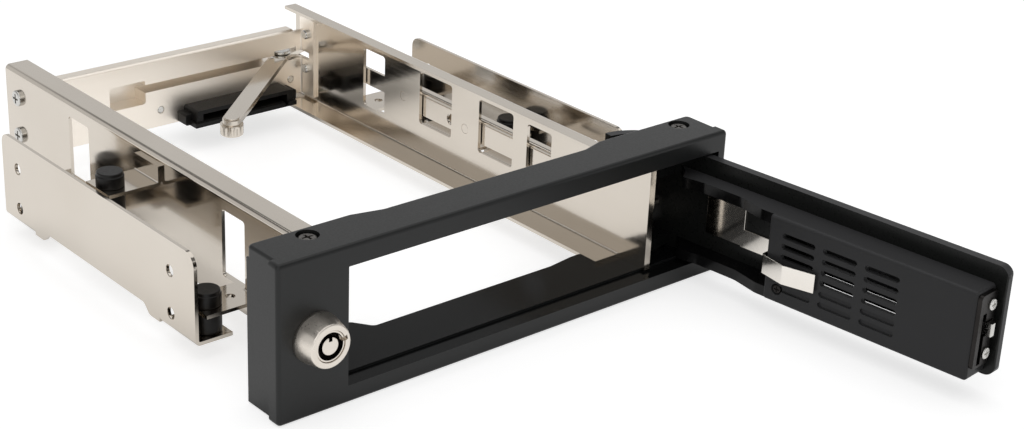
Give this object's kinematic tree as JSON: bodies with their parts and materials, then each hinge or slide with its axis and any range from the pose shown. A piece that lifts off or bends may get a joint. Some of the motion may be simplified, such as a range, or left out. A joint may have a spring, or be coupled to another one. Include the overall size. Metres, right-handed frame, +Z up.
{
  "type": "hot-swap drive bay",
  "caption": "Trayless hot-swap bay for a bare 3.5-inch drive: black keyed bezel with a side-hinged vented door, plated cage on rubber dampers, eject linkage and rear drive socket.",
  "frame": {"origin": "centre of the bottom face of the front plate", "axes": "+X to the right seen from the front, +Y from the front to the rear, +Z up"},
  "size_m": [0.1536, 0.2696, 0.0425],
  "materials": {
    "black_plastic": "satin moulded",
    "white_plastic": "moulded",
    "nickel_steel": "bright nickel plate on folded sheet",
    "bright_steel": "bright zinc",
    "black_steel": "black oxide",
    "lock_nickel": "polished nickel",
    "black_rubber": "matt",
    "board_green": "solder mask on glass laminate",
    "gold_contact": "gold plate"
  },
  "bodies": {
    "frame": {"bezel": "black_plastic", "bezel_screws": "black_steel", "left_rail": "nickel_steel", "right_rail": "nickel_steel", "rear_panel": "nickel_steel", "panel_screws": "bright_steel", "left_bracket": "nickel_steel", "right_bracket": "nickel_steel", "dampers": "black_rubber", "damper_screws": "bright_steel", "lock_housing": "lock_nickel", "lock_nut": "bright_steel", "hinge_pins": "bright_steel", "slide_rivets": "bright_steel", "lever_pivot": "bright_steel", "backplane_board": "board_green", "board_screws": "bright_steel", "sata_receptacle": "black_plastic", "receptacle_contacts": "gold_contact", "data_header": "black_plastic", "power_header": "white_plastic"},
    "door": {"door_shell": "black_plastic", "door_cover": "black_plastic", "cover_screw": "black_steel", "leaf_spring": "bright_steel", "latch_plate": "black_steel", "latch_screws": "bright_steel", "latch_spring": "bright_steel", "crank_pin": "bright_steel"},
    "bolt": {"latch_bolt": "bright_steel"},
    "slide": {"slide_bar": "bright_steel", "slide_pin": "bright_steel"},
    "lever": {"ejector_lever": "bright_steel", "pusher_stud": "bright_steel"},
    "lock": {"lock_plug": "lock_nickel", "lock_cam": "bright_steel", "cam_screw": "bright_steel"}
  },
  "joints": [
    {"name": "door_hinge", "type": "hinge", "parent": "frame", "child": "door", "pos_m": [0.055, 0.0114, 0.0215], "axis": [0, 0, 1], "range_deg": [-96, 0]},
    {"name": "eject_slide", "type": "slide", "parent": "frame", "child": "slide", "axis": [0, 1, 0], "range_m": [-0.00834, 0]},
    {"name": "lever_turn", "type": "hinge", "parent": "frame", "child": "lever", "pos_m": [0.0416, 0.1655, 0.021], "axis": [0, 0, 1], "range_deg": [-41.5, 0]},
    {"name": "lock_turn", "type": "hinge", "parent": "frame", "child": "lock", "pos_m": [-0.06335, 0, 0.02115], "axis": [0, -1, 0], "range_deg": [0, 90]},
    {"name": "latch_slide", "type": "slide", "parent": "door", "child": "bolt", "axis": [0.1045, -0.9945, 0], "range_m": [-0.002, 0.0014], "stiffness_N_per_m": 150}
  ],
  "couplings": [
    {"joint": "eject_slide", "follows": "door_hinge", "m_per_rad": 0.0049746},
    {"joint": "lever_turn", "follows": "door_hinge", "ratio": 0.43229}
  ]
}
